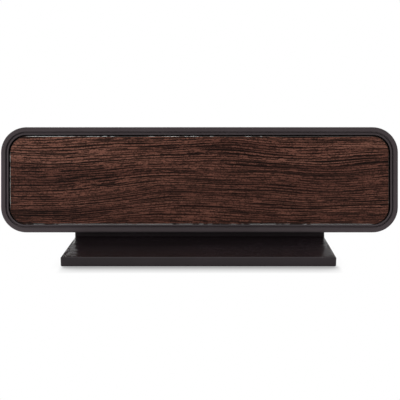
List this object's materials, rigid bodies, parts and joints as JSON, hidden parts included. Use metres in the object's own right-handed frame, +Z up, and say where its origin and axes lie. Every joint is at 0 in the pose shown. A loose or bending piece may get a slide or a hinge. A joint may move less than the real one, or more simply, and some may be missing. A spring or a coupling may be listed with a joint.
{
  "type": "desk name plate",
  "caption": "Desk name plate: a lift-out woodgrain insert in a rounded black frame, leaning back on the braced neck of a low weighted base.",
  "frame": {"origin": "centre of the base's footprint, on the desk", "axes": "+X along the sign, +Z up, the sign faces -Y and leans back 10 degrees"},
  "size_m": [0.2126, 0.0634, 0.0649],
  "materials": {
    "frame_plastic": "satin moulded black",
    "tray_plastic": "satin moulded black",
    "white_core": "white engraving core",
    "woodgrain_cap": "satin walnut woodgrain",
    "keeper_steel": "bright rolled",
    "ferrite": "ground ferrite",
    "screw_steel": "zinc plated",
    "base_plastic": "satin moulded black",
    "ballast_steel": "mill finish",
    "foam_tape": "foam",
    "felt": "pressed felt"
  },
  "bodies": {
    "stand": {"outer_frame": "frame_plastic", "insert_tray": "tray_plastic", "magnet_left": "ferrite", "magnet_right": "ferrite", "frame_screws": "screw_steel", "neck_screws": "screw_steel", "base": "base_plastic", "ballast_plate": "ballast_steel", "ballast_tape": "foam_tape", "base_pad": "felt"},
    "insert": {"insert_core": "white_core", "insert_cap": "woodgrain_cap", "keeper_left": "keeper_steel", "keeper_right": "keeper_steel"}
  },
  "joints": [
    {"name": "insert_lift", "type": "slide", "parent": "stand", "child": "insert", "axis": [0, -0.9848, 0.1736], "range_m": [0, 0.012]}
  ]
}
